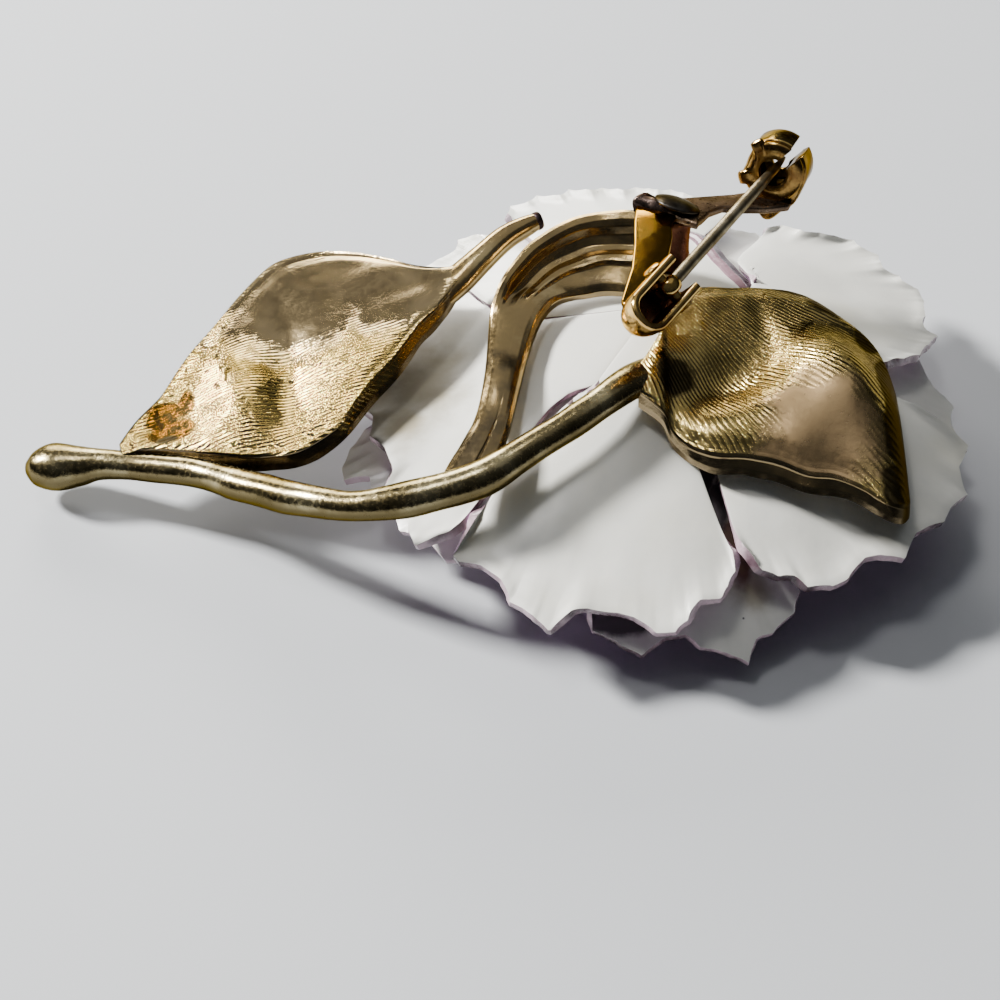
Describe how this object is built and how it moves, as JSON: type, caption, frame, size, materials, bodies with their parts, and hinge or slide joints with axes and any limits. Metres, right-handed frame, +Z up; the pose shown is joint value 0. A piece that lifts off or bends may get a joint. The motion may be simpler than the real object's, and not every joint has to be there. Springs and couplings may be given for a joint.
{
  "type": "brooch",
  "caption": "Flower brooch lying face down: enamelled metal petals with pinked edges on a cast leaf and stem spray, with a hinged pin and a locking catch on the back",
  "frame": {"origin": "the middle of the bounding box, on the surface that the brooch lies on", "axes": "X along the stem from its tip towards the flower, Y across the leaves towards the catch, Z up from the surface through the back of the brooch"},
  "size_m": [0.0706, 0.0488, 0.021],
  "materials": {
    "antique_gold": "cast, textured, worn antique gold plating",
    "bright_gold": "bright gold plating on stamped sheet",
    "pin_wire": "drawn wire with thin gold plating",
    "dark_rivet": "heat-darkened steel",
    "white_enamel": "satin white baked enamel on sheet metal",
    "lilac_enamel": "glossy lilac baked enamel on sheet metal"
  },
  "bodies": {
    "brooch": {"leaf_spray": "antique_gold", "rear_petals": "white_enamel", "middle_petals": "white_enamel", "front_petals": "lilac_enamel", "heart_petals": "lilac_enamel", "flower_rivet": "antique_gold", "pin_base": "bright_gold", "base_rivet": "dark_rivet", "hinge_rivet": "bright_gold"},
    "pin": {"pin_stem": "pin_wire"},
    "roll": {"catch_roll": "bright_gold"}
  },
  "joints": [
    {"name": "pin_swing", "type": "hinge", "parent": "brooch", "child": "pin", "pos_m": [0.01184, -0.00237, 0.0183], "axis": [0.668, -0.4181, -0.6157], "range_deg": [0, 80]},
    {"name": "catch_turn", "type": "hinge", "parent": "brooch", "child": "roll", "pos_m": [0.02079, 0.01193, 0.0183], "axis": [0.3433, 0.9071, -0.2435], "range_deg": [0, 120]}
  ]
}
